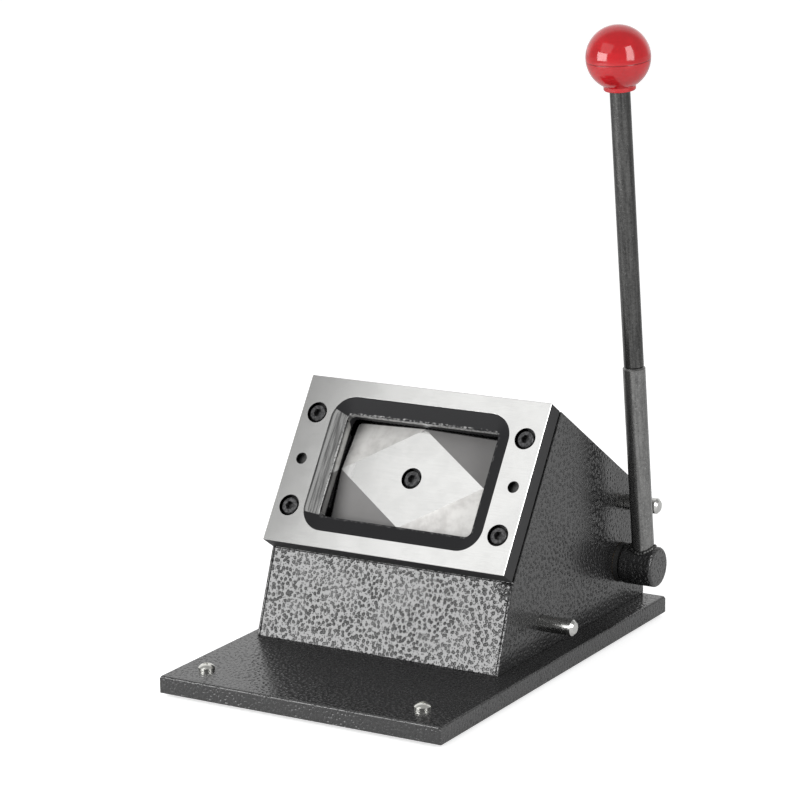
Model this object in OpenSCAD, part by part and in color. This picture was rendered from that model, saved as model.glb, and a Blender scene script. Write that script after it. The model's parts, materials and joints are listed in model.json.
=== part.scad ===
// Hand-lever card cutter: a wedge-shaped body on a base plate carries a sloping
// die plate. A lever turns an eccentric shaft, which pushes a ram and its punch
// through the sheet slot and up into the die window.

/* [Base plate] */
// Width of the base plate, left to right
base_w = 155; // [152:1:170]
// Depth of the base plate, front to back
base_d = 230; // [230:1:245]
// Thickness of the base plate
base_t = 8.5; // [8:0.5:10]
// How far the base plate's middle lies to the right of the body's middle
base_shift = 3.2; // [2:0.1:5]
// Diameter of a rubber foot
foot_d = 18; // [14:1:20]
// Height of a rubber foot under the base plate
foot_h = 2; // [1.5:0.5:4]

/* [Body] */
// Outside width of the body
body_w = 136.8; // [136:0.2:138]
// Thickness of a side plate
side_t = 8; // [7.5:0.1:8.2]
// Width of the side plate's lip that covers the ends of the panels
lip_t = 1.5; // [1.2:0.1:2]
// Thickness of the front, roof and rear panels
panel_t = 4; // [3:0.5:4.5]
// Slope of the die plate from level, in degrees
tilt = 56.2; // [56:0.1:56.5]
// Distance from the base plate's front edge to the middle of the die's face
face_y = 106.5; // [106:0.1:108]
// Height of the middle of the die's face over the base plate's underside
face_z = 93; // [92:0.5:94]
// Distance from the base plate's front edge to the foot of the front panel
front_y = 75; // [74:0.5:77]
// Distance from the base plate's front edge to the body's rear face
rear_y = 229.5; // [229:0.1:230]
// Thickness of the head plate behind the sheet slot
head_t = 20; // [18:0.5:20]

/* [Die plate] */
// Width of the die plate
die_w = 136; // [135:0.5:140]
// Height of the die plate along the slope
die_h = 88.4; // [86:0.2:89]
// Thickness of the die plate
die_t = 9.8; // [9:0.1:10.5]
// Width of the flared window at the die's face
window_w = 101; // [98:0.2:102]
// Height of the flared window at the die's face
window_h = 71; // [68:0.5:72]
// Corner radius of the flared window at the die's face
window_r = 12.5; // [10:0.5:14]
// Depth of the flare, from the face down to the cutting land
flare_depth = 3.2; // [2.5:0.1:5]
// Width of the bright step between the flare and the land
land_step = 0.7; // [0.3:0.1:1.2]
// Open height of the sheet slot behind the die plate
slot_gap = 1.1; // [0.9:0.1:1.5]
// Sideways distance from the middle to a die screw
die_screw_x = 59; // [58:0.2:60]
// Distance up or down the slope from the middle to a die screw
die_screw_v = 24.8; // [24:0.2:26]
// Sideways distance from the middle to a dowel pin
dowel_x = 60; // [59:0.2:61]
// Diameter of a dowel pin
dowel_d = 6; // [5:0.5:6]

/* [Card and punch] */
// Width of the card that is cut out
card_w = 85.6; // [85:0.1:86]
// Height of the card that is cut out
card_h = 54; // [53.5:0.1:54.2]
// Corner radius of the card
card_r = 3.18; // [3:0.01:3.5]
// Width of the flat rhomb left in the middle of the punch's face
rhomb_w = 81; // [78:0.2:81]
// Height of the flat rhomb
rhomb_h = 52; // [50:0.2:52]
// Sideways shift of the rhomb and the punch's screw from the punch's middle
rhomb_x = -2.2; // [-2.2:0.1:0]
// Shift of the rhomb and the punch's screw up the slope
rhomb_v = 0.6; // [0:0.1:0.6]
// How far each corner of the punch's face is ground away
corner_relief = 3.9; // [2:0.1:4.5]
// Length of the punch
punch_l = 29; // [28:0.5:30]
// Gap between the punch and the die's land, each side
cut_gap = 0.06; // [0.04:0.01:0.1]

/* [Ram drive] */
// Travel of the ram over the lever's whole swing
stroke = 7; // [6:0.5:7.5]
// Swing of the lever from its rear stop to its front stop, in degrees
swing = 82.6; // [80:0.1:82.8]
// Diameter of the drive shaft
shaft_d = 16; // [15:0.5:16]
// Distance from the base plate's front edge to the shaft's middle
shaft_y = 203.8; // [203.5:0.1:204.5]
// Height of the shaft's middle over the base plate's underside
shaft_z = 31.8; // [31.5:0.1:33]
// Radius of the eccentric disc
eccentric_r = 16; // [15.5:0.1:16.2]
// Diameter of a guide post
post_d = 10; // [9:0.5:10]
// Sideways distance from the middle to a guide post
post_x = 50.5; // [50:0.1:51]

/* [Lever] */
// How far the resting lever leans forward from upright, in degrees
lean = 6.5; // [6:0.1:7]
// Diameter of the hub on the shaft's end
hub_d = 20.5; // [19:0.5:22]
// Length of the hub
hub_l = 18.6; // [18:0.1:20]
// Distance from the body's middle to the lever's own middle line
lever_x = 81.4; // [80:0.2:83]
// Diameter of the lever's lower stub
stub_d = 11.3; // [10.5:0.1:11.5]
// Distance from the shaft's middle to the top of the stub
stub_reach = 106; // [100:1:120]
// Diameter of the lever's upper rod
rod_d = 10; // [9:0.5:10.5]
// Distance from the shaft's middle to the middle of the ball
ball_reach = 261.8; // [240:0.2:280]
// Diameter of the ball knob
ball_d = 31.4; // [28:0.2:34]

/* [Stop pins] */
// Diameter of a stop pin
stop_d = 8; // [7:0.5:8]
// How far a stop pin stands out of the body's side
stop_l = 18.3; // [16:0.1:20]
// Distance from the base plate's front edge to the front stop pin
front_stop_y = 119; // [116:0.5:120]
// Height of the front stop pin over the base plate's underside
front_stop_z = 23; // [21:0.5:23]
// Distance from the base plate's front edge to the rear stop pin
rear_stop_y = 210.4; // [210.4:0.1:212]
// Height of the rear stop pin over the base plate's underside
rear_stop_z = 61.6; // [61.6:0.1:64]

/* [Hidden] */

$fn = 64;
eps = 0.01;
fit_gap = 0.03;        // radial gap of a running fit
seam = 0.3;            // open seam between a panel's end and the lip
edge_r = 1;            // rounded edges of the base plate

// the box that holds the whole machine, measured before it is moved to the origin
ball_r = ball_d / 2;
left_x = base_shift - base_w / 2;
right_x = lever_x + ball_r;
mid_x = (left_x + right_x) / 2;
mid_y = base_d / 2;

// the sloping frame: depth is measured square to the die's face, from the face inwards
slot_depth = die_t + slot_gap;
head_back = slot_depth + head_t;
punch_depth = slot_depth + 0.1;
ram_depth = punch_depth + punch_l;
half_v = die_h / 2;
panel_w = body_w - 2 * lip_t - 2 * seam;
inner_x = body_w / 2 - side_t;
function at_slope(depth, v) = [
    face_y + depth * sin(tilt) + v * cos(tilt),
    face_z - depth * cos(tilt) + v * sin(tilt)
];

// corners of the body's side, as [y, z]
front_foot = [front_y, base_t];
front_top = at_slope(slot_depth, -half_v);
roof_front = at_slope(slot_depth, half_v);
roof_rear = [rear_y, roof_front[1] - (rear_y - roof_front[0]) / tan(tilt)];
rear_foot = [rear_y, base_t];
panel_rise = panel_t / sin(tilt);
front_dir = (front_top - front_foot) / norm(front_top - front_foot);
front_in_foot = front_foot + [panel_t / front_dir[1], 0];
head_low = at_slope(head_back, -half_v);
head_high = at_slope(head_back, half_v);
head_dir = (head_low - front_top) / norm(head_low - front_top);
front_in_top = front_top + head_dir * panel_t / cross(head_dir, front_dir);
roof_in_rear = [rear_y, roof_rear[1] - panel_rise];
inner_rear_top = [rear_y - panel_t, roof_in_rear[1] + panel_t / tan(tilt)];
inner_head_high = at_slope(head_back, half_v - panel_t);

// the drive: the ram moves by the eccentric's rise along the slope's normal
half_swing = swing / 2;
throw_r = stroke / (2 * sin(half_swing));
shaft_depth = (shaft_y - face_y) * sin(tilt) - (shaft_z - face_z) * cos(tilt);
shaft_v = (shaft_y - face_y) * cos(tilt) + (shaft_z - face_z) * sin(tilt);
contact_gap = 0.25;    // working gap between the eccentric and the thrust pad
pad_t = 5;
pad_back = shaft_depth + stroke / 2 - eccentric_r - contact_gap;
pad_depth = pad_back - pad_t;
ram_plate_t = 22;
ram_plate_w = 119;
ram_plate_h = 40;
stem_w = 36;
stem_h = 36;
eccentric_w = 24;
key_w = 5;
key_seat = shaft_d / 2 - 3; // distance from the shaft's middle to the key's floor
post_start = slot_depth + 6;
post_end = 72;
bush_wall = 2;
bush_flange_d = shaft_d + 9;
bush_flange_t = 2;
spring_pocket = 8;
spring_od = 15;
spring_wire = 1.6;
spring_l = 9.8;        // the spring's length at the ram's full travel

// fasteners
m5_d = 5;
m5_head_d = 8.5;
m5_head_h = 5;
m5_hex = 4;
m5_clear_d = 5.4;
m5_bore_d = 11;        // counterbore round an M5 cap screw's head
m5_sink = 0.4;         // depth of the head's top below the face
m5_tap = 14;           // depth of a tapped hole
die_screw_l = 18;
spacer_d = 11;
die_corner_r = 0.5;
corner_drill_r = 8;    // relief beside the punch's corners in the head plate
dowel_tail = 12;       // length of a die dowel in the head plate
dowel_recess = 3;      // depth of a die dowel's end below the face
m4_d = 4;
m4_clear_d = 4.2;
m4_head_d = 8;
m4_head_h = 3.3;
m4_dome_r = 5.2;
cross_l = 4.4;
cross_w = 0.9;
cross_depth = 1.2;
left_foot_inset = 14.5;
right_foot_inset = 20.5;
front_foot_y = 18.5;
rear_foot_inset = 14;
rear_foot_x = 50;
foot_boss_d = 8;
foot_boss_h = 5;
foot_floor = 1;        // rubber left under the insert
foot_insert_d = 6;
feet_xy = [
    [left_x + left_foot_inset, front_foot_y],
    [left_x + base_w - right_foot_inset, front_foot_y],
    [-rear_foot_x, base_d - rear_foot_inset],
    [rear_foot_x, base_d - rear_foot_inset]
];
bar_y = 86;
bar_size = 16;
block_x = 40.4;
block_y = 188;
block_h = 10;
bolt_xy = [
    [-45, bar_y + bar_size / 2], [45, bar_y + bar_size / 2],
    [-50, block_y + bar_size / 2], [50, block_y + bar_size / 2]
];
bolt_d = 6;
bolt_head_d = 12;
bolt_head_h = 3.3;
bolt_hex = 4;
bolt_reach = 8;        // length of a bolt in the bar or the block
rear_screw_z = [18, 46];
rear_screw_x = inner_x + 2.6;
rear_screw_d = 3;
rear_screw_l = 12;
rear_screw_tap = 10;
rear_screw_hex = 2;
rear_head_d = 6;
rear_head_h = 1.7;
punch_dowel_x = 25;
punch_dowel_d = 6;
punch_dowel_hole = 10; // depth of the dowel holes in the punch and in the ram
pad_screw_x = 12;
pad_screw_l = 14;
pad_screw_sink = 0.3;
pad_head_d = 7;
pad_head_h = 2;
pad_hex = 2.5;

// lever
washer_t = 2.4;
hub_start = body_w / 2 + washer_t + 0.3;
hub_end = hub_start + hub_l;
hub_pin_d = 4;
hub_pin_x = hub_start + 4;
spigot_d = 12;         // the shaft's reduced end inside the hub
spigot_end = hub_end - 3;
ball_neck_d = 15.8;
ball_neck_l = 15.9;    // from the ball's middle to the face of its neck
insert_d = 12;
insert_l = 14;
knob_tang_l = 11;      // how far the rod's tang goes into the insert
tang_d = 8;            // reduced ends of the lever rod
tang_l = 14;
shaft_left = -body_w / 2 - 4.5;
end_washer_d = 24;
end_washer_t = 2;
ring_x = -body_w / 2 - 2.2;
ring_t = 1.2;
ring_opening = 6;
groove_d = shaft_d - 1.4;

// moves a part drawn from the base plate's front edge to the machine's own origin
module placed() {
    translate([-mid_x, -mid_y, foot_h])
        children();
}

// sets a part on the slope at a depth below the die's face, with +Z out of the face
module on_slope(depth = 0) {
    placed()
        translate([0, face_y, face_z])
            rotate([tilt, 0, 0])
                translate([0, 0, -depth])
                    children();
}

// sets a part on the shaft's axis, with +Z along +X from the body's middle
module on_shaft(x = 0) {
    placed()
        translate([x, shaft_y, shaft_z])
            rotate([0, 90, 0])
                children();
}

// sets a part on the lever, with +Z from the shaft towards the ball
module on_lever() {
    placed()
        translate([lever_x, shaft_y, shaft_z])
            rotate([lean, 0, 0])
                children();
}

// a side view, given as [y, z] points, made w wide about the body's middle
module side_prism(points, x, w) {
    placed()
        translate([x, 0, 0])
            rotate([90, 0, 90])
                linear_extrude(w)
                    polygon(points);
}

module rounded_rect(w, h, r) {
    square([w - 2 * r, h], center = true);
    square([w, h - 2 * r], center = true);
    for (sx = [-1, 1], sy = [-1, 1])
        translate([sx * (w / 2 - r), sy * (h / 2 - r)])
            circle(r);
}

module ring(outer_d, inner_d, h) {
    difference() {
        cylinder(d = outer_d, h = h);
        translate([0, 0, -1])
            cylinder(d = inner_d, h = h + 2);
    }
}

// a cap screw with its head's top at z = 0 and its shank along -Z
module cap_screw(d, head_d, head_h, hex, l) {
    difference() {
        union() {
            translate([0, 0, -head_h])
                cylinder(d = head_d, h = head_h - 0.4);
            translate([0, 0, -0.4 - eps])
                cylinder(d1 = head_d, d2 = head_d - 0.8, h = 0.4 + eps);
            translate([0, 0, -head_h - l])
                cylinder(d = d, h = l + eps);
        }
        translate([0, 0, -head_h / 2])
            cylinder(d = hex / cos(30), h = head_h, $fn = 6);
    }
}

// a countersunk screw with its head's face at z = 0 and its shank along -Z
module flat_screw(d, head_d, head_h, hex, l) {
    difference() {
        union() {
            translate([0, 0, -head_h])
                cylinder(d1 = d, d2 = head_d, h = head_h);
            translate([0, 0, -l])
                cylinder(d = d, h = l);
        }
        translate([0, 0, -head_h * 0.6])
            cylinder(d = hex / cos(30), h = head_h, $fn = 6);
    }
}

module flat_screw_hole(d, head_d, head_h, l) {
    translate([0, 0, -head_h])
        cylinder(d1 = d, d2 = head_d, h = head_h);
    translate([0, 0, -l])
        cylinder(d = d, h = l);
    translate([0, 0, -eps])
        cylinder(d = head_d, h = 1);
}

// ---- base ----

module base_plate() {
    color([0.20, 0.20, 0.21]) placed() difference() {
        translate([left_x, 0, 0])
            union() {
                cube([base_w, base_d, base_t - edge_r]);
                translate([edge_r, edge_r, 0])
                    cube([base_w - 2 * edge_r, base_d - 2 * edge_r, base_t]);
                for (y = [edge_r, base_d - edge_r])
                    translate([edge_r, y, base_t - edge_r])
                        rotate([0, 90, 0])
                            cylinder(r = edge_r, h = base_w - 2 * edge_r);
                for (x = [edge_r, base_w - edge_r])
                    translate([x, edge_r, base_t - edge_r])
                        rotate([-90, 0, 0])
                            cylinder(r = edge_r, h = base_d - 2 * edge_r);
                for (x = [edge_r, base_w - edge_r], y = [edge_r, base_d - edge_r])
                    translate([x, y, base_t - edge_r])
                        sphere(edge_r);
            }
        for (p = feet_xy)
            translate([p[0], p[1], -1]) {
                cylinder(d = m4_clear_d, h = base_t + 2);
                cylinder(d = foot_boss_d, h = foot_boss_h + 1);
            }
        for (p = bolt_xy)
            translate([p[0], p[1], 0])
                rotate([180, 0, 0])
                    flat_screw_hole(bolt_d, bolt_head_d, bolt_head_h, base_t + 1);
    }
}

module rubber_feet() {
    color([0.06, 0.06, 0.06]) placed()
        for (p = feet_xy)
            translate([p[0], p[1], -foot_h])
                difference() {
                    union() {
                        cylinder(d1 = foot_d - 1, d2 = foot_d, h = foot_h);
                        cylinder(d = foot_boss_d, h = foot_h + foot_boss_h);
                    }
                    translate([0, 0, foot_floor])
                        cylinder(d = foot_insert_d, h = foot_h + foot_boss_h);
                }
}

module foot_inserts() {
    color([0.72, 0.58, 0.30]) placed()
        for (p = feet_xy)
            translate([p[0], p[1], foot_floor - foot_h])
                ring(foot_insert_d, m4_d, foot_h + foot_boss_h - foot_floor);
}

module foot_screws() {
    color([0.75, 0.75, 0.73]) placed()
        for (p = feet_xy)
            translate([p[0], p[1], base_t])
                difference() {
                    union() {
                        intersection() {
                            cylinder(d = m4_head_d, h = m4_head_h);
                            translate([0, 0, m4_head_h - m4_dome_r])
                                sphere(m4_dome_r);
                        }
                        translate([0, 0, -base_t])
                            cylinder(d = m4_d, h = base_t + eps);
                    }
                    for (a = [45, 135])
                        translate([0, 0, m4_head_h])
                            rotate([0, 0, a])
                                cube([cross_l, cross_w, 2 * cross_depth], center = true);
                }
}

// ---- body ----

body_outline = [front_foot, front_top, roof_front, roof_rear, rear_foot];
inner_outline = [
    front_in_foot, front_in_top, head_low, inner_head_high, inner_rear_top,
    [rear_y - panel_t, base_t]
];

// lip over the panel ends, and the thick middle that the panels rest on
module side_plate(side) {
    outer_x = side * body_w / 2;
    lip_x = min(outer_x, outer_x - side * lip_t);
    thick_x = min(outer_x, outer_x - side * side_t);
    union() {
        side_prism(body_outline, lip_x, lip_t);
        side_prism(inner_outline, thick_x, side_t);
    }
}

module side_plate_holes(side) {
    on_shaft(side * (body_w / 2 - side_t / 2))
        translate([0, 0, -side_t])
            cylinder(d = shaft_d + 2 * bush_wall, h = 2 * side_t);
    placed()
        for (z = rear_screw_z)
            translate([side * rear_screw_x, rear_y - panel_t - rear_screw_tap, z])
                rotate([-90, 0, 0])
                    cylinder(d = rear_screw_d, h = rear_screw_tap + panel_t);
}

module left_side_plate() {
    color([0.22, 0.22, 0.23]) difference() {
        side_plate(-1);
        side_plate_holes(-1);
    }
}

module right_side_plate() {
    color([0.22, 0.22, 0.23]) difference() {
        side_plate(1);
        side_plate_holes(1);
        for (p = [[front_stop_y, front_stop_z], [rear_stop_y, rear_stop_z]])
            placed()
                translate([body_w / 2 - side_t - 1, p[0], p[1]])
                    rotate([0, 90, 0])
                        cylinder(d = stop_d, h = side_t + 2);
    }
}

// thick plate behind the slot: the punch passes through it, and its corners are
// drilled out beside the punch's corners
module head_plate() {
    opening_w = card_w + 3;
    opening_h = card_h + 2;
    head_w = body_w - 2 * lip_t;
    color([0.30, 0.30, 0.31]) on_slope(head_back) difference() {
        translate([-head_w / 2, -half_v, 0])
            cube([head_w, die_h, head_t]);
        translate([-opening_w / 2, -opening_h / 2, -1])
            cube([opening_w, opening_h, head_t + 2]);
        for (sx = [-1, 1], sy = [-1, 1])
            translate([sx * card_w / 2, sy * card_h / 2, -1])
                cylinder(r = corner_drill_r, h = head_t + 2);
        for (sx = [-1, 1], sy = [-1, 1])
            translate([sx * die_screw_x, sy * die_screw_v, head_t - m5_tap])
                cylinder(d = m5_d, h = m5_tap + 1);
        for (sx = [-1, 1])
            translate([sx * dowel_x, 0, head_t - dowel_tail - 1])
                cylinder(d = dowel_d, h = dowel_tail + 2);
        for (sx = [-1, 1])
            translate([sx * post_x, 0, -1])
                cylinder(d = post_d, h = head_back - post_start + 1);
    }
}

module front_panel() {
    color([0.24, 0.24, 0.25])
        side_prism([front_foot, front_top, front_in_top, front_in_foot], -panel_w / 2, panel_w);
}

module roof_panel() {
    color([0.24, 0.24, 0.25])
        side_prism([head_high, roof_rear, roof_in_rear, inner_head_high], -panel_w / 2, panel_w);
}

module rear_panel() {
    color([0.24, 0.24, 0.25]) difference() {
        side_prism(
            [rear_foot, [rear_y - panel_t, base_t], inner_rear_top, roof_in_rear],
            -panel_w / 2, panel_w
        );
        placed()
            for (sx = [-1, 1], z = rear_screw_z)
                translate([sx * rear_screw_x, rear_y, z])
                    rotate([-90, 0, 0])
                        flat_screw_hole(rear_screw_d, rear_head_d, rear_head_h, panel_t + 1);
    }
}

module rear_panel_screws() {
    color([0.16, 0.16, 0.17]) placed()
        for (sx = [-1, 1], z = rear_screw_z)
            translate([sx * rear_screw_x, rear_y, z])
                rotate([-90, 0, 0])
                    flat_screw(rear_screw_d, rear_head_d, rear_head_h, rear_screw_hex, rear_screw_l);
}

module front_mounting_bar() {
    color([0.45, 0.45, 0.46]) placed() difference() {
        translate([-inner_x, bar_y, base_t])
            cube([2 * inner_x, bar_size, bar_size]);
        for (p = [bolt_xy[0], bolt_xy[1]])
            translate([p[0], p[1], base_t - 1])
                cylinder(d = bolt_d, h = bolt_reach + 5);
    }
}

module mounting_block(side) {
    bolt = side < 0 ? bolt_xy[2] : bolt_xy[3];
    color([0.45, 0.45, 0.46]) placed() difference() {
        translate([side < 0 ? -inner_x : block_x, block_y, base_t])
            cube([inner_x - block_x, bar_size, block_h]);
        translate([bolt[0], bolt[1], base_t - 1])
            cylinder(d = bolt_d, h = block_h + 2);
    }
}

module left_mounting_block() {
    mounting_block(-1);
}

module right_mounting_block() {
    mounting_block(1);
}

module base_bolts() {
    color([0.16, 0.16, 0.17]) placed()
        for (p = bolt_xy)
            translate([p[0], p[1], 0])
                rotate([180, 0, 0])
                    flat_screw(bolt_d, bolt_head_d, bolt_head_h, bolt_hex, base_t + bolt_reach);
}

// ---- die ----

module die_plate() {
    land_w = card_w + 2 * cut_gap;
    land_h = card_h + 2 * cut_gap;
    step_w = land_w + 2 * land_step;
    step_h = land_h + 2 * land_step;
    color([0.72, 0.72, 0.70]) on_slope(die_t) difference() {
        linear_extrude(die_t)
            rounded_rect(die_w, die_h, die_corner_r);
        translate([0, 0, -1])
            linear_extrude(die_t + 2)
                rounded_rect(land_w, land_h, card_r);
        hull() {
            translate([0, 0, die_t - flare_depth])
                linear_extrude(eps)
                    rounded_rect(step_w, step_h, card_r + land_step);
            translate([0, 0, die_t])
                linear_extrude(eps)
                    rounded_rect(window_w, window_h, window_r);
        }
        for (sx = [-1, 1], sy = [-1, 1])
            translate([sx * die_screw_x, sy * die_screw_v, 0]) {
                translate([0, 0, -1])
                    cylinder(d = m5_clear_d, h = die_t + 2);
                translate([0, 0, die_t - m5_sink - m5_head_h])
                    cylinder(d = m5_bore_d, h = m5_head_h + 1);
            }
        for (sx = [-1, 1])
            translate([sx * dowel_x, 0, -1])
                cylinder(d = dowel_d, h = die_t + 2);
    }
}

module slot_spacers() {
    color([0.55, 0.55, 0.55]) on_slope(slot_depth)
        for (sx = [-1, 1], sy = [-1, 1])
            translate([sx * die_screw_x, sy * die_screw_v, 0])
                ring(spacer_d, m5_clear_d, slot_gap);
}

module die_screws() {
    color([0.15, 0.15, 0.16]) on_slope(m5_sink)
        for (sx = [-1, 1], sy = [-1, 1])
            translate([sx * die_screw_x, sy * die_screw_v, 0])
                cap_screw(m5_d, m5_head_d, m5_head_h, m5_hex, die_screw_l);
}

module dowel_pins() {
    color([0.35, 0.35, 0.36]) on_slope(slot_depth + dowel_tail)
        for (sx = [-1, 1])
            translate([sx * dowel_x, 0, 0])
                cylinder(d = dowel_d, h = slot_depth + dowel_tail - dowel_recess);
}

// ---- guides and bearings fixed to the body ----

module guide_post(side) {
    chamfer = 1.6;
    color([0.80, 0.80, 0.82]) on_slope(post_end)
        translate([side * post_x, 0, 0]) {
            cylinder(d1 = post_d - chamfer, d2 = post_d, h = chamfer);
            translate([0, 0, chamfer])
                cylinder(d = post_d, h = post_end - post_start - chamfer);
        }
}

module left_guide_post() {
    guide_post(-1);
}

module right_guide_post() {
    guide_post(1);
}

// the wound spring's outer form at its shortest, clear of the post inside it
module return_spring(side) {
    color([0.50, 0.51, 0.52]) on_slope(head_back + spring_l)
        translate([side * post_x, 0, 0])
            ring(spring_od, spring_od - 2 * spring_wire, spring_l);
}

module left_return_spring() {
    return_spring(-1);
}

module right_return_spring() {
    return_spring(1);
}

// a flanged bush pressed in the side plate, with its flange inside the body
module shaft_bush() {
    difference() {
        union() {
            cylinder(d = shaft_d + 2 * bush_wall, h = side_t);
            translate([0, 0, -bush_flange_t])
                cylinder(d = bush_flange_d, h = bush_flange_t);
        }
        translate([0, 0, -3])
            cylinder(d = shaft_d + 2 * fit_gap, h = side_t + 4);
    }
}

module left_shaft_bush() {
    color([0.70, 0.52, 0.28]) on_shaft(-inner_x)
        mirror([0, 0, 1])
            shaft_bush();
}

module right_shaft_bush() {
    color([0.70, 0.52, 0.28]) on_shaft(inner_x)
        shaft_bush();
}

module thrust_washer() {
    color([0.08, 0.08, 0.08]) on_shaft(body_w / 2)
        ring(hub_d - 0.5, shaft_d + 1, washer_t);
}

module stop_pin(y, z) {
    chamfer = 1.2;
    color([0.75, 0.75, 0.75]) placed()
        translate([body_w / 2 - side_t, y, z])
            rotate([0, 90, 0]) {
                cylinder(d = stop_d, h = side_t + stop_l - chamfer);
                translate([0, 0, side_t + stop_l - chamfer])
                    cylinder(d1 = stop_d, d2 = stop_d - 2 * chamfer, h = chamfer);
            }
}

module front_stop_pin() {
    stop_pin(front_stop_y, front_stop_z);
}

module rear_stop_pin() {
    stop_pin(rear_stop_y, rear_stop_z);
}

// ---- ram and punch ----

// the face is ground down to its four corners, leaving a flat rhomb
module punch() {
    slope = atan(corner_relief / (card_w * card_h / 2 / norm([card_w, card_h])));
    color([0.85, 0.85, 0.84]) on_slope(ram_depth) difference() {
        linear_extrude(punch_l)
            rounded_rect(card_w, card_h, card_r);
        for (sx = [-1, 1], sy = [-1, 1])
            translate([rhomb_x + sx * rhomb_w / 4, rhomb_v + sy * rhomb_h / 4, punch_l])
                rotate([0, 0, atan2(sy * rhomb_w, sx * rhomb_h)])
                    rotate([0, slope, 0])
                        translate([0, -card_w, 0])
                            cube([card_w, 2 * card_w, 20]);
        translate([rhomb_x, rhomb_v, punch_l - m5_sink - m5_head_h])
            cylinder(d = m5_bore_d, h = m5_head_h + 1);
        translate([rhomb_x, rhomb_v, -1])
            cylinder(d = m5_clear_d, h = punch_l + 1);
        for (sx = [-1, 1])
            translate([sx * punch_dowel_x, 0, -1])
                cylinder(d = punch_dowel_d, h = punch_dowel_hole + 1);
    }
}

module punch_screw() {
    color([0.15, 0.15, 0.16]) on_slope(punch_depth + m5_sink)
        translate([rhomb_x, rhomb_v, 0])
            cap_screw(m5_d, m5_head_d, m5_head_h, m5_hex, punch_l + 6);
}

module punch_dowels() {
    dowel_l = 2 * punch_dowel_hole - 1;
    color([0.60, 0.60, 0.61]) on_slope(ram_depth + punch_dowel_hole)
        for (sx = [-1, 1])
            translate([sx * punch_dowel_x, 0, 0])
                cylinder(d = punch_dowel_d, h = dowel_l);
}

module ram() {
    plate_back = ram_depth + ram_plate_t;
    color([0.50, 0.50, 0.51]) on_slope(plate_back) difference() {
        union() {
            translate([-ram_plate_w / 2, -ram_plate_h / 2, 0])
                cube([ram_plate_w, ram_plate_h, ram_plate_t]);
            translate([-stem_w / 2, shaft_v - stem_h / 2, plate_back - pad_depth])
                cube([stem_w, stem_h, pad_depth - plate_back + eps]);
        }
        for (sx = [-1, 1])
            translate([sx * post_x, 0, 0]) {
                translate([0, 0, -1])
                    cylinder(d = post_d + 2 * bush_wall, h = ram_plate_t + 2);
                translate([0, 0, ram_plate_t - spring_pocket])
                    cylinder(d = spring_od + 0.8, h = spring_pocket + 1);
            }
        translate([rhomb_x, rhomb_v, ram_plate_t - m5_tap])
            cylinder(d = m5_d, h = m5_tap + 1);
        for (sx = [-1, 1])
            translate([sx * punch_dowel_x, 0, ram_plate_t - punch_dowel_hole])
                cylinder(d = punch_dowel_d, h = punch_dowel_hole + 1);
        for (sx = [-1, 1])
            translate([sx * pad_screw_x, shaft_v, plate_back - pad_depth - 1])
                cylinder(d = m4_d, h = pad_screw_l - pad_t + 2);
    }
}

module post_bush(side) {
    color([0.70, 0.52, 0.28]) on_slope(ram_depth + ram_plate_t)
        translate([side * post_x, 0, 0])
            ring(post_d + 2 * bush_wall, post_d + 2 * fit_gap, ram_plate_t - spring_pocket);
}

module left_post_bush() {
    post_bush(-1);
}

module right_post_bush() {
    post_bush(1);
}

module thrust_pad() {
    color([0.62, 0.62, 0.63]) on_slope(pad_back) difference() {
        translate([-stem_w / 2, shaft_v - stem_h / 2, 0])
            cube([stem_w, stem_h, pad_t]);
        for (sx = [-1, 1])
            translate([sx * pad_screw_x, shaft_v, 0])
                rotate([180, 0, 0])
                    flat_screw_hole(m4_d, pad_head_d + 0.6, pad_head_h + 0.5, pad_t + 1);
    }
}

module thrust_pad_screws() {
    color([0.15, 0.15, 0.16]) on_slope(pad_back - pad_screw_sink)
        for (sx = [-1, 1])
            translate([sx * pad_screw_x, shaft_v, 0])
                rotate([180, 0, 0])
                    flat_screw(m4_d, pad_head_d, pad_head_h, pad_hex, pad_screw_l);
}

// ---- shaft and lever ----

module drive_shaft() {
    color([0.66, 0.66, 0.67]) on_shaft() difference() {
        union() {
            translate([0, 0, shaft_left])
                cylinder(d = shaft_d, h = hub_start - shaft_left);
            translate([0, 0, hub_start - eps])
                cylinder(d = spigot_d, h = spigot_end - hub_start);
        }
        translate([0, 0, ring_x - ring_t])
            ring(shaft_d + 2, groove_d, ring_t);
        rotate([0, 0, tilt - half_swing])
            translate([-key_w / 2, key_seat, -eccentric_w / 2])
                cube([key_w, key_w, eccentric_w]);
        translate([0, 0, hub_pin_x])
            rotate([0, 90, lean])
                cylinder(d = hub_pin_d, h = shaft_d, center = true);
    }
}

// turns the disc's own +Y towards its high side, seen along the shaft from the left
module on_throw(x = 0) {
    on_shaft(x)
        rotate([0, 0, tilt - half_swing])
            children();
}

module eccentric() {
    color([0.55, 0.55, 0.57]) on_throw(-eccentric_w / 2) difference() {
        translate([0, throw_r, 0])
            cylinder(r = eccentric_r, h = eccentric_w);
        translate([0, 0, -1])
            cylinder(d = shaft_d, h = eccentric_w + 2);
        translate([-key_w / 2, key_seat, -1])
            cube([key_w, key_w, eccentric_w + 2]);
        translate([0, shaft_d / 2, eccentric_w / 2])
            rotate([-90, 0, 0])
                cylinder(d = m5_d, h = eccentric_r + throw_r);
    }
}

module eccentric_key() {
    color([0.45, 0.45, 0.46]) on_throw(-eccentric_w / 2)
        translate([-key_w / 2, key_seat, 0])
            cube([key_w, key_w, eccentric_w]);
}

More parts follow.
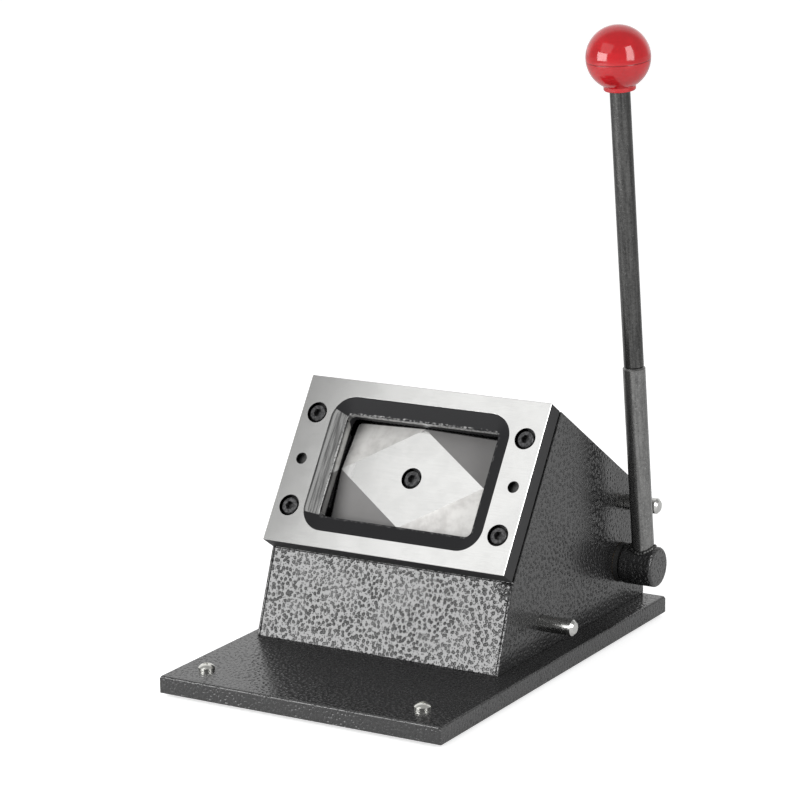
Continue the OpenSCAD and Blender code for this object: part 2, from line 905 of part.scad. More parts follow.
module eccentric_set_screw() {
    key_top = key_seat + key_w;
    set_hex = 2.5;
    hold = throw_r + eccentric_r - key_top - 1;
    color([0.15, 0.15, 0.16]) on_throw()
        translate([0, key_top, 0])
            rotate([-90, 0, 0])
                difference() {
                    cylinder(d = m5_d, h = hold);
                    translate([0, 0, hold - set_hex])
                        cylinder(d = set_hex / cos(30), h = set_hex + 1, $fn = 6);
                }
}

module end_washer() {
    color([0.60, 0.60, 0.61]) on_shaft(-body_w / 2 - end_washer_t - 0.1)
        ring(end_washer_d, shaft_d + 0.6, end_washer_t);
}

module retaining_ring() {
    color([0.20, 0.20, 0.21]) on_shaft(ring_x - ring_t + 0.1) difference() {
        ring(shaft_d + 5, groove_d + 0.1, ring_t - 0.2);
        translate([0, -ring_opening / 2, -1])
            cube([shaft_d, ring_opening, ring_t + 2]);
    }
}

// a blind collar with rounded rims, painted like the body
module lever_hub() {
    rim_r = 1.6;
    color([0.20, 0.20, 0.21]) difference() {
        on_shaft(hub_start)
            rotate_extrude() {
                square([hub_d / 2 - rim_r, hub_l]);
                translate([0, rim_r])
                    square([hub_d / 2, hub_l - 2 * rim_r]);
                for (y = [rim_r, hub_l - rim_r])
                    translate([hub_d / 2 - rim_r, y])
                        circle(rim_r);
            }
        on_shaft(hub_start - 1)
            cylinder(d = spigot_d, h = spigot_end - hub_start + 1.1);
        on_shaft(hub_pin_x)
            rotate([0, 90, lean])
                cylinder(d = hub_pin_d, h = 2 * hub_d, center = true);
    }
}

module hub_pin() {
    color([0.30, 0.30, 0.31]) on_shaft(hub_pin_x)
        rotate([0, 90, lean])
            cylinder(d = hub_pin_d, h = hub_d - 1, center = true);
}

// welded to the hub, with a socket in its top for the rod's tang
module lever_stub() {
    rim = 0.8;
    color([0.42, 0.42, 0.43]) difference() {
        on_lever() {
            cylinder(d = stub_d, h = stub_reach - rim);
            translate([0, 0, stub_reach - rim])
                cylinder(d1 = stub_d, d2 = stub_d - 2 * rim, h = rim);
        }
        on_shaft(hub_start - 1)
            cylinder(d = hub_d, h = hub_l + 2);
        on_lever()
            translate([0, 0, stub_reach - tang_l - 0.5])
                cylinder(d = tang_d, h = tang_l + 1);
    }
}

module lever_rod() {
    shoulder = ball_reach - ball_neck_l;
    rim = 0.6;
    color([0.28, 0.28, 0.29]) on_lever() {
        translate([0, 0, stub_reach - tang_l])
            cylinder(d = tang_d, h = shoulder + knob_tang_l - stub_reach + tang_l);
        translate([0, 0, stub_reach])
            cylinder(d1 = rod_d - 2 * rim, d2 = rod_d, h = rim);
        translate([0, 0, stub_reach + rim])
            cylinder(d = rod_d, h = shoulder - stub_reach - 2 * rim);
        translate([0, 0, shoulder - rim])
            cylinder(d1 = rod_d, d2 = rod_d - 2 * rim, h = rim);
    }
}

module ball_knob() {
    color([0.80, 0.08, 0.10]) on_lever()
        translate([0, 0, ball_reach])
            difference() {
                union() {
                    sphere(ball_r);
                    translate([0, 0, -ball_neck_l])
                        cylinder(d = ball_neck_d, h = ball_neck_l - ball_r / 2);
                }
                translate([0, 0, -ball_neck_l - 1])
                    cylinder(d = insert_d, h = insert_l + 1);
            }
}

module knob_insert() {
    color([0.72, 0.58, 0.30]) on_lever()
        translate([0, 0, ball_reach - ball_neck_l])
            difference() {
                cylinder(d = insert_d, h = insert_l);
                translate([0, 0, -1])
                    cylinder(d = tang_d, h = knob_tang_l + 1.5);
            }
}

base_plate();
rubber_feet();
foot_inserts();
foot_screws();
left_side_plate();
right_side_plate();
head_plate();
front_panel();
roof_panel();
rear_panel();
rear_panel_screws();
front_mounting_bar();
left_mounting_block();
right_mounting_block();
base_bolts();
die_plate();
slot_spacers();
die_screws();
dowel_pins();
left_guide_post();
right_guide_post();
left_return_spring();
right_return_spring();
left_shaft_bush();
right_shaft_bush();
thrust_washer();
front_stop_pin();
rear_stop_pin();
punch();
punch_screw();
punch_dowels();
ram();
left_post_bush();
right_post_bush();
thrust_pad();
thrust_pad_screws();
drive_shaft();
eccentric();
eccentric_key();
eccentric_set_screw();
end_washer();
retaining_ring();
lever_hub();
hub_pin();
lever_stub();
lever_rod();
ball_knob();
knob_insert();
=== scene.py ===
"""Looks of a hand-lever card cutter, built on its fixed frame."""

import json
import math

import bpy
from mathutils import Matrix, Vector

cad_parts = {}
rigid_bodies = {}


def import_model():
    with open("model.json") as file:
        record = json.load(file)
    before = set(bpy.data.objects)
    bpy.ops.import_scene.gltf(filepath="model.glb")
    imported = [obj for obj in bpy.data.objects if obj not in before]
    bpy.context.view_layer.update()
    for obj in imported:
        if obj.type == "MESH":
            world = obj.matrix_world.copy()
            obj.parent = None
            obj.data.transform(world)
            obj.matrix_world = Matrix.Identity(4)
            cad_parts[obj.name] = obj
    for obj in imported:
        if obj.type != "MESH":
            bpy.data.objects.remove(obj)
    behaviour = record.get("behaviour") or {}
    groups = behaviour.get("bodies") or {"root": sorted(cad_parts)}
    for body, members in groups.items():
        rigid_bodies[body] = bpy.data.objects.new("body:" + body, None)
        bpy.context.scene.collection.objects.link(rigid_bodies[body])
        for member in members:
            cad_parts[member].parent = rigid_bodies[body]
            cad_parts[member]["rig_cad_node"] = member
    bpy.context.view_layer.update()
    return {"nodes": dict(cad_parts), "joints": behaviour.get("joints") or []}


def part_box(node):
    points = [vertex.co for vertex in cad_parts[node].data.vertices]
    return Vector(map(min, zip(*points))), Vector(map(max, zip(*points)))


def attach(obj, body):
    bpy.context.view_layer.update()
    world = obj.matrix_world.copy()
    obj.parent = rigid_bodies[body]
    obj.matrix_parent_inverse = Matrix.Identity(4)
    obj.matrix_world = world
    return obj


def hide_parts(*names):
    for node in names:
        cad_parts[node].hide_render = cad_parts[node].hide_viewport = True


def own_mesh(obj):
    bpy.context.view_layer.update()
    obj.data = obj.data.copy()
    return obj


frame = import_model()

bl_info = {
    "name": "Card Cutter Looks",
    "version": (1, 0, 0),
    "blender": (4, 5, 0),
    "location": "3D View > Sidebar > Card Cutter",
    "description": "Models the finished surfaces of a hand-lever card cutter",
    "category": "Object",
}

# the sloping die: its face's middle, and the directions across, up the slope and out of it
TILT = math.radians(56.2)
OUTWARD = Vector((0, -math.sin(TILT), math.cos(TILT)))
DIE_BOX = [Vector(corner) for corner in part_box("die_plate")]
HALF_THICK = 0.0049
FACE = (DIE_BOX[0] + DIE_BOX[1]) / 2 + OUTWARD * HALF_THICK
SLOPE = Matrix.Translation(FACE) @ Matrix.Rotation(TILT, 4, "X")

# half sizes across and up the slope: the plate's dark rim and chamfered edges, and the window's mouth
DIE_RIM = (0.06790, 0.04405)
DIE_FIELD = (0.0670, 0.0435)
WINDOW_MOUTH = (0.0512, 0.0361)

# where the window's walls begin, up and across the slope, and how far the top wall leans in per depth
TOP_WALL = (0.0262, 0.0268)
LEFT_WALL = (-0.04275, -0.04255)
WALL_TOP = 0.0281
WALL_FOOT = -0.0266
FLARE_SLOPE = 0.70

# depths below the die's face at which its looks start and end
FACE_END = (0.000004, 0.000012)
HOLE_SHADE_START = (0.0003, 0.0005)
EDGE_SHADE = (0.0001, 0.0005)
EDGE_LINE = (0.0005, 0.0009)
TORN_LINE = (0.0034, 0.0046)
LIP_HIGHLIGHT = (0.0034, 0.0062)
BRIGHT_LAND = (0.0056, 0.0084)
FOOT_SHADE = (0.0084, 0.0090)

# how soft the borders at those depths are, and how far they waver where the metal is torn
BAND_SOFT = 0.0003
TORN_REACH = 0.0014

# roughness of the ground steel
GROUND_ROUGH = 0.14

# the lever's own line, from the shaft's middle to the ball, and the ball's seam, below its middle
LEAN = math.radians(6.5)
SHAFT = Vector(next(joint["pos_m"] for joint in frame["joints"] if joint["name"] == "lever_swing"))
LEVER = Matrix.Translation(SHAFT) @ Matrix.Rotation(LEAN, 4, "X")
BALL_REACH = 0.2618
BALL_SEAM = -0.001

# the punch, on the slope: its face's flat rhomb, its rim and its screw's bore, both painted dark as shade,
# and the metal by the wall
RHOMB = (-0.0022, 0.0006)
RHOMB_HALF = (0.0405, 0.026)
PUNCH_RIM = (0.0423, 0.0266)
BORE_RADIUS = 0.0057
BORE_TOP = -0.0113
BESIDE_WALL = (-0.0385, -0.0345)

# the plates of the painted body
PAINTED = ("left_side_plate", "right_side_plate", "head_plate", "front_panel", "roof_panel", "rear_panel")

# points closer than this are one
MERGE_GAP = 0.000002


# ---- settings ----


class CutterSizes(bpy.types.PropertyGroup):
    """Sizes of the finishing details, in metres"""

    paint_edge: bpy.props.FloatProperty(
        name="Painted Edge", description="Rounding of the painted body's edges",
        default=0.0005, min=0.0001, max=0.002, subtype="DISTANCE", unit="LENGTH",
    )
    steel_edge: bpy.props.FloatProperty(
        name="Steel Edge", description="Small chamfer on the ground steel's edges",
        default=0.00025, min=0.0001, max=0.001, subtype="DISTANCE", unit="LENGTH",
    )
    ball_radius: bpy.props.FloatProperty(
        name="Ball Radius", description="Radius of the ball knob",
        default=0.0157, min=0.012, max=0.0157, subtype="DISTANCE", unit="LENGTH",
    )
    seam_depth: bpy.props.FloatProperty(
        name="Ball Seam", description="Depth of the moulding seam round the ball",
        default=0.0001, min=0.0, max=0.0003, subtype="DISTANCE", unit="LENGTH",
    )
    hammer_size: bpy.props.FloatProperty(
        name="Hammer Mark", description="Distance between the paint's hammer marks",
        default=0.0025, min=0.0008, max=0.004, subtype="DISTANCE", unit="LENGTH",
    )
    weld_bead: bpy.props.FloatProperty(
        name="Weld Bead", description="Radius of one ripple of a weld",
        default=0.0011, min=0.0005, max=0.002, subtype="DISTANCE", unit="LENGTH",
    )


class CutterColours(bpy.types.PropertyGroup):
    """Colours of the finishes"""

    vein: bpy.props.FloatVectorProperty(
        name="Paint Vein", description="Light net between the paint's hammer marks",
        default=(0.015, 0.015, 0.0155), size=3, min=0, max=1, subtype="COLOR",
    )
    # the pit colour is painted shade, darker where the hammer marks' hollows are
    pit: bpy.props.FloatVectorProperty(
        name="Paint Pit", description="Dark middle of the paint's hammer marks",
        default=(0.0045, 0.0045, 0.005), size=3, min=0, max=1, subtype="COLOR",
    )
    steel: bpy.props.FloatVectorProperty(
        name="Ground Steel", description="Ground tool steel of the die and punch",
        default=(0.66, 0.66, 0.65), size=3, min=0, max=1, subtype="COLOR",
    )
    ball: bpy.props.FloatVectorProperty(
        name="Ball", description="Red plastic of the ball knob",
        default=(0.47, 0.009, 0.014), size=3, min=0, max=1, subtype="COLOR",
    )


class CutterStage(bpy.types.PropertyGroup):
    """Camera and light of the studio"""

    azimuth: bpy.props.FloatProperty(
        name="Azimuth", description="Camera's turn round the machine, from its front to its right",
        default=math.radians(31.066), subtype="ANGLE", unit="ROTATION",
    )
    elevation: bpy.props.FloatProperty(
        name="Elevation", description="Camera's height angle",
        default=math.radians(13.302), subtype="ANGLE", unit="ROTATION",
    )
    roll: bpy.props.FloatProperty(
        name="Roll", description="Camera's tilt about its own line of sight",
        default=math.radians(-0.882), subtype="ANGLE", unit="ROTATION",
    )
    camera_place: bpy.props.FloatVectorProperty(
        name="Camera Place", description="Where the camera stands",
        default=FACE + Vector((0.73789, -1.22877, 0.37511)), size=3, subtype="TRANSLATION", unit="LENGTH",
    )
    lens: bpy.props.FloatProperty(
        name="Lens", description="Focal length on a 36 mm sensor, in millimetres",
        default=136.79, min=20, max=300,
    )
    key_power: bpy.props.FloatProperty(
        name="Key Light", description="Power of the low bright light at the front, in watts",
        default=8.6, min=0, max=200,
    )
    broad_power: bpy.props.FloatProperty(
        name="Broad Light", description="Power of the high pale light over the front, in watts",
        default=1.5, min=0, max=200,
    )
    side_power: bpy.props.FloatProperty(
        name="Side Light", description="Power of the soft light at the right, in watts",
        default=9.5, min=0, max=200,
    )
    surround: bpy.props.FloatProperty(
        name="Surround", description="Strength of the even light all round",
        default=0.40, min=0, max=2,
    )
    backdrop: bpy.props.FloatProperty(
        name="Backdrop", description="Strength of the white backdrop behind the machine",
        default=1.0, min=0, max=2,
    )


# ---- modelling helpers ----


def pick_none():
    if bpy.context.object and bpy.context.object.mode != "OBJECT":
        bpy.ops.object.mode_set(mode="OBJECT")
    bpy.ops.object.select_all(action="DESELECT")


def pick_only(piece):
    """Selects one piece and makes it the active one."""
    pick_none()
    piece.select_set(True)
    bpy.context.view_layer.objects.active = piece


def start_edit():
    """Opens the active piece's mesh with all of its vertices selected."""
    bpy.ops.object.mode_set(mode="EDIT")
    bpy.ops.mesh.select_mode(type="VERT")
    bpy.ops.mesh.select_all(action="SELECT")


def pick_vertices(piece, test):
    """Selects the vertices whose place passes a test."""
    bpy.ops.mesh.select_mode(type="VERT")
    bpy.ops.mesh.select_all(action="DESELECT")
    bpy.ops.object.mode_set(mode="OBJECT")
    for vertex in piece.data.vertices:
        vertex.select = test(vertex.co)
    bpy.ops.object.mode_set(mode="EDIT")


def settle(piece, place=None):
    """Puts the place into the mesh, so that the piece's object sits at the origin."""
    pick_only(piece)
    if place is not None:
        piece.matrix_world = place @ piece.matrix_world
    bpy.ops.object.transform_apply(location=True, rotation=True, scale=True)


def cover(piece, material):
    """Gives the piece one material all over."""
    piece.data.materials.clear()
    piece.data.materials.append(material)


def dress(piece, material, body, smooth=35):
    """Gives the piece its material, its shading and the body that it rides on."""
    cover(piece, material)
    pick_only(piece)
    bpy.ops.object.shade_smooth_by_angle(angle=math.radians(smooth))
    even = piece.modifiers.new("Even Shading", "WEIGHTED_NORMAL")
    even.mode, even.weight, even.keep_sharp = "FACE_AREA", 80, True
    bpy.ops.object.modifier_apply(modifier="Even Shading")
    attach(piece, body)


def lathe(name, profile, steps):
    """Turns a profile of (radius, height) points about +Z."""
    pick_none()
    bpy.ops.mesh.primitive_plane_add(size=0.001)
    piece = bpy.context.object
    piece.name = name
    start_edit()
    bpy.ops.mesh.merge(type="CENTER")
    bpy.ops.transform.translate(value=(profile[0][0], 0, profile[0][1]))
    for (r0, z0), (r1, z1) in zip(profile, profile[1:]):
        bpy.ops.mesh.extrude_region_move(TRANSFORM_OT_translate={"value": (r1 - r0, 0, z1 - z0)})
    bpy.ops.mesh.select_all(action="SELECT")
    bpy.ops.mesh.spin(steps=steps, angle=2 * math.pi, center=(0, 0, 0), axis=(0, 0, 1))
    bpy.ops.mesh.select_all(action="SELECT")
    bpy.ops.mesh.remove_doubles(threshold=MERGE_GAP)
    bpy.ops.mesh.normals_make_consistent(inside=False)
    bpy.ops.object.mode_set(mode="OBJECT")
    return piece


def joined(pieces, name):
    """Makes one object of several pieces."""
    pick_none()
    for piece in pieces:
        piece.select_set(True)
    bpy.context.view_layer.objects.active = pieces[0]
    bpy.ops.object.join()
    pieces[0].name = name
    return pieces[0]


def fused(name, blobs, voxel):
    """Fuses round blobs, given as places and sizes, into one lumpy piece."""
    rounds = []
    for place, size in blobs:
        pick_none()
        bpy.ops.mesh.primitive_ico_sphere_add(subdivisions=3, radius=1, location=place, scale=size)
        rounds.append(bpy.context.object)
    piece = joined(rounds, name)
    settle(piece)
    skin = piece.modifiers.new("Skin", "REMESH")
    skin.mode, skin.voxel_size = "VOXEL", voxel
    bpy.ops.object.modifier_apply(modifier="Skin")
    return piece


def arc(cx, cz, radius, start, end, count):
    """Points of a profile's arc, from angle start to angle end in degrees."""
    angles = [math.radians(start + (end - start) * i / (count - 1)) for i in range(count)]
    return [(cx + radius * math.cos(a), cz + radius * math.sin(a)) for a in angles]


def finished_copy(node, width, chosen, segments=2, sharp=28):
    """A copy of a frame's node with its flat faces merged and its chosen sharp edges rounded."""
    pick_only(frame["nodes"][node])
    bpy.ops.object.duplicate()
    piece = bpy.context.object
    piece.name = node + "_finished"
    piece.parent = None
    del piece["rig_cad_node"]
    bpy.ops.mesh.customdata_custom_splitnormals_clear()
    start_edit()
    bpy.ops.mesh.remove_doubles(threshold=MERGE_GAP)
    bpy.ops.mesh.dissolve_limited(angle_limit=math.radians(0.5))
    bpy.ops.mesh.select_mode(type="EDGE")
    bpy.ops.mesh.select_all(action="DESELECT")
    bpy.ops.mesh.edges_select_sharp(sharpness=math.radians(sharp))
    bpy.ops.object.mode_set(mode="OBJECT")
    points = piece.data.vertices
    for edge in piece.data.edges:
        start, end = (points[i].co for i in edge.vertices)
        edge.select = edge.select and chosen(start, end)
    bpy.ops.object.mode_set(mode="EDIT")
    bpy.ops.mesh.bevel(offset=width, segments=segments, affect="EDGES", clamp_overlap=True)
    bpy.ops.object.mode_set(mode="OBJECT")
    return piece


# ---- material helpers ----


def feed(tree, node, values):
    """Sets a node's inputs, or links them to other nodes' outputs."""
    for key, value in values.items():
        if isinstance(value, bpy.types.NodeSocket):
            tree.links.new(value, node.inputs[key])
        else:
            node.inputs[key].default_value = value


def put(tree, kind, values=None, **settings):
    """Adds a node with its own settings, and sets or links its inputs."""
    node = tree.nodes.new(kind)
    for key, value in settings.items():
        setattr(node, key, value)
    feed(tree, node, values or {})
    return node


def mix_colour(tree, amount, low, high):
    """Goes from the low colour to the high one as the amount goes from 0 to 1."""
    return put(tree, "ShaderNodeMix", {0: amount, 6: low, 7: high}, data_type="RGBA").outputs[2]


def calc(tree, operation, first, second=0.0, clamp=False):
    node = put(tree, "ShaderNodeMath", {0: first, 1: second}, operation=operation, use_clamp=clamp)
    return node.outputs[0]


def add(tree, first, second):
    return calc(tree, "ADD", first, second)


def times(tree, first, second):
    return calc(tree, "MULTIPLY", first, second)


def most(tree, first, second):
    return calc(tree, "MAXIMUM", first, second)


def left_of_one(tree, value):
    return calc(tree, "SUBTRACT", 1.0, value)


def distance_from_zero(tree, value):
    return calc(tree, "ABSOLUTE", value)


def stretch(tree, value, low, high, out_low=0.0, out_high=1.0, smooth=True):
    """Turns the range from low to high into the range from out_low to out_high."""
    node = put(
        tree, "ShaderNodeMapRange",
        {"Value": value, "From Min": low, "From Max": high, "To Min": out_low, "To Max": out_high},
        interpolation_type="SMOOTHSTEP" if smooth else "LINEAR",
    )
    return node.outputs["Result"]


def spread(tree, pattern, low, high):
    """Stretches the range that holds nearly all of a noise to the given limits."""
    return stretch(tree, pattern, 0.3, 0.7, low, high)


def between(tree, value, start, end, soft):
    """1 between start and end, with soft borders."""
    rise = stretch(tree, value, start - soft, start + soft)
    fall = stretch(tree, value, end - soft, end + soft, 1.0, 0.0)
    return times(tree, rise, fall)


def within(tree, spot, half):
    """1 inside a box round zero whose half sizes are given, else 0."""
    tests = [calc(tree, "LESS_THAN", distance_from_zero(tree, at), size) for at, size in zip(spot, half)]
    return times(tree, *tests)


def beyond(tree, spot, half):
    """1 outside a box round zero whose half sizes are given, else 0."""
    tests = [calc(tree, "GREATER_THAN", distance_from_zero(tree, at), size) for at, size in zip(spot, half)]
    return most(tree, *tests)


def axis_of(tree, vector, axis):
    return put(tree, "ShaderNodeSeparateXYZ", {0: vector}).outputs[axis]


def noise(tree, vector, scale, detail, roughness=0.5):
    values = {"Vector": vector, "Scale": scale, "Detail": detail, "Roughness": roughness}
    return put(tree, "ShaderNodeTexNoise", values).outputs["Fac"]


def drawn_out(tree, vector, factors):
    """Scales a vector's axes, so that a pattern is drawn out along those with small factors."""
    return put(tree, "ShaderNodeVectorMath", {0: vector, 1: factors}, operation="MULTIPLY").outputs[0]


def rgba(colour):
    return (colour[0], colour[1], colour[2], 1.0)


def grey(shade):
    return (shade, shade, shade, 1.0)


def new_group(name, inputs, outputs):
    """A shader node group with named float or vector sockets."""
    tree = bpy.data.node_groups.new(name, "ShaderNodeTree")
    for socket, kind in inputs:
        tree.interface.new_socket(socket, in_out="INPUT", socket_type="NodeSocket" + kind)
    for socket, kind in outputs:
        tree.interface.new_socket(socket, in_out="OUTPUT", socket_type="NodeSocket" + kind)
    return tree, tree.nodes.new("NodeGroupInput"), tree.nodes.new("NodeGroupOutput")


def hammer_marks_group():
    """Round pits in a smooth raised net, laid flat on each side and uneven from patch to patch."""
    if "Hammer Marks" in bpy.data.node_groups:
        return bpy.data.node_groups["Hammer Marks"]
    tree, enter, leave = new_group(
        "Hammer Marks", [("Vector", "Vector"), ("Normal", "Vector"), ("Density", "Float")],
        [("Pit", "Float"), ("Height", "Float")],
    )
    place, normal, density = (enter.outputs[key] for key in ("Vector", "Normal", "Density"))
    small_density, soft_density, warp_density, patch_density = (
        times(tree, density, factor) for factor in (1.7, 0.9, 0.8, 0.16)
    )
    # the marks are laid out across X and Z, with Y in place of X on the sides and of Z on top
    sideways = distance_from_zero(tree, axis_of(tree, normal, 0))
    upwards = distance_from_zero(tree, axis_of(tree, normal, 2))
    steep = 0.7
    on_side, on_top = (calc(tree, "GREATER_THAN", value, steep) for value in (sideways, upwards))
    spot = [axis_of(tree, place, axis) for axis in range(3)]
    u = put(tree, "ShaderNodeMix", {0: on_side, 2: spot[0], 3: spot[1]}).outputs[0]
    v = put(tree, "ShaderNodeMix", {0: on_top, 2: spot[2], 3: spot[1]}).outputs[0]
    flat = put(tree, "ShaderNodeCombineXYZ", {"X": u, "Y": v}).outputs[0]
    # the marks' places are shifted a little, so that they aren't regular
    warp = put(tree, "ShaderNodeTexNoise", {"Vector": place, "Scale": warp_density, "Detail": 1.0})
    centred = put(
        tree, "ShaderNodeVectorMath", {0: warp.outputs["Color"], 1: (0.5, 0.5, 0.5)},
        operation="SUBTRACT",
    ).outputs[0]
    reach = calc(tree, "DIVIDE", 0.45, density)
    shift = put(tree, "ShaderNodeVectorMath", {0: centred, "Scale": reach}, operation="SCALE").outputs[0]
    moved = put(tree, "ShaderNodeVectorMath", {0: flat, 1: shift}, operation="ADD").outputs[0]
    wide = put(
        tree, "ShaderNodeTexVoronoi", {"Vector": moved, "Scale": density, "Randomness": 0.85},
        voronoi_dimensions="2D",
    ).outputs["Distance"]
    small = put(
        tree, "ShaderNodeTexVoronoi", {"Vector": moved, "Scale": small_density},
        voronoi_dimensions="2D",
    ).outputs["Distance"]
    patch = stretch(tree, noise(tree, place, patch_density, 2.0), 0.36, 0.62, 0.6, 1.0)
    big_pit = times(tree, stretch(tree, wide, 0.08, 0.40, 1.0, 0.0), patch)
    small_pit = stretch(tree, small, 0.04, 0.24, 0.40, 0.0)
    pit = most(tree, big_pit, small_pit)
    softness = times(tree, noise(tree, place, soft_density, 2.0), 0.10)
    height = add(tree, left_of_one(tree, pit), softness)
    feed(tree, leave, {"Pit": pit, "Height": height})
    return tree


def grinding_group():
    """Fine parallel scratches along the vector's X, with wider bands and stains."""
    if "Grinding Lines" in bpy.data.node_groups:
        return bpy.data.node_groups["Grinding Lines"]
    tree, enter, leave = new_group(
        "Grinding Lines", [("Vector", "Vector"), ("Density", "Float"), ("Stretch", "Float")],
        [("Line", "Float"), ("Band", "Float"), ("Stain", "Float")],
    )
    place, density = enter.outputs["Vector"], enter.outputs["Density"]
    shrink = calc(tree, "DIVIDE", 1.0, enter.outputs["Stretch"])
    along = put(tree, "ShaderNodeCombineXYZ", {"X": shrink, "Y": 1.0, "Z": 1.0}).outputs[0]
    drawn = drawn_out(tree, place, along)
    feed(tree, leave, {
        "Line": noise(tree, drawn, density, 4.0, 0.7),
        "Band": noise(tree, drawn, times(tree, density, 0.12), 2.0),
        "Stain": noise(tree, place, 55.0, 5.0, 0.6),
    })
    return tree


def start_material(name):
    material = bpy.data.materials.new(name)
    material.use_nodes = True
    tree = material.node_tree
    tree.nodes.clear()
    shader = tree.nodes.new("ShaderNodeBsdfPrincipled")
    out = tree.nodes.new("ShaderNodeOutputMaterial")
    tree.links.new(shader.outputs[0], out.inputs["Surface"])
    where = tree.nodes.new("ShaderNodeTexCoord").outputs["Object"]
    return material, tree, shader, where


def once(build):
    """Keeps one copy of each material."""
    def fetch(*args):
        name = build.__name__.replace("_", " ").title() + "".join(" " + str(a) for a in args)
        return bpy.data.materials.get(name) or build(name, *args)
    return fetch


def on_frame(tree, where, place, turn):
    """Reads the pattern in a frame of its own."""
    return put(
        tree, "ShaderNodeMapping", {"Vector": where, "Location": place, "Rotation": turn},
        vector_type="TEXTURE",
    ).outputs[0]


def bump(tree, shader, height, strength, distance):
    node = put(tree, "ShaderNodeBump", {"Height": height, "Strength": strength, "Distance": distance})
    tree.links.new(node.outputs[0], shader.inputs["Normal"])


@once
def hammered_paint(name):
    """Dark enamel with hammer marks; its pits are duller than its net, and painted darker as shade in their
    hollows.
    """
    sizes, colours = bpy.context.scene.cutter_sizes, bpy.context.scene.cutter_colours
    material, tree, shader, where = start_material(name)
    facing = tree.nodes.new("ShaderNodeTexCoord").outputs["Normal"]
    inputs = {"Vector": where, "Normal": facing, "Density": 1.0 / sizes.hammer_size}
    marks = put(tree, "ShaderNodeGroup", node_tree=hammer_marks_group())
    feed(tree, marks, inputs)
    pit = marks.outputs["Pit"]
    feed(tree, shader, {
        # the pits' colour paints the shade that falls in the hammer marks' hollows
        "Base Color": mix_colour(tree, pit, rgba(colours.vein), rgba(colours.pit)),
        "Roughness": stretch(tree, pit, 0, 1, 0.20, 0.40, False),
        "Specular IOR Level": 0.75,
    })
    bump(tree, shader, marks.outputs["Height"], 1.0, 0.00022)
    return material


def steel_base(name, turn, tint, rough, strength):
    """Ground steel whose scratches run along the turned frame's X."""
    material, tree, shader, where = start_material(name)
    local = on_frame(tree, where, FACE, turn)
    lines = put(tree, "ShaderNodeGroup", node_tree=grinding_group())
    feed(tree, lines, {"Vector": local, "Density": 2600.0, "Stretch": 22.0})
    shade = spread(tree, lines.outputs["Line"], 0.93, 1.0)
    stain = stretch(tree, lines.outputs["Stain"], 0.35, 0.62, 0.92, 1.0)
    colour = mix_colour(tree, times(tree, shade, stain), grey(0.10), rgba(tint))
    bump(tree, shader, lines.outputs["Line"], strength, 0.000004)
    shine = spread(tree, lines.outputs["Band"], rough - 0.03, rough + 0.03)
    feed(tree, shader, {"Roughness": shine, "Metallic": 1.0})
    return material, tree, shader, local, colour


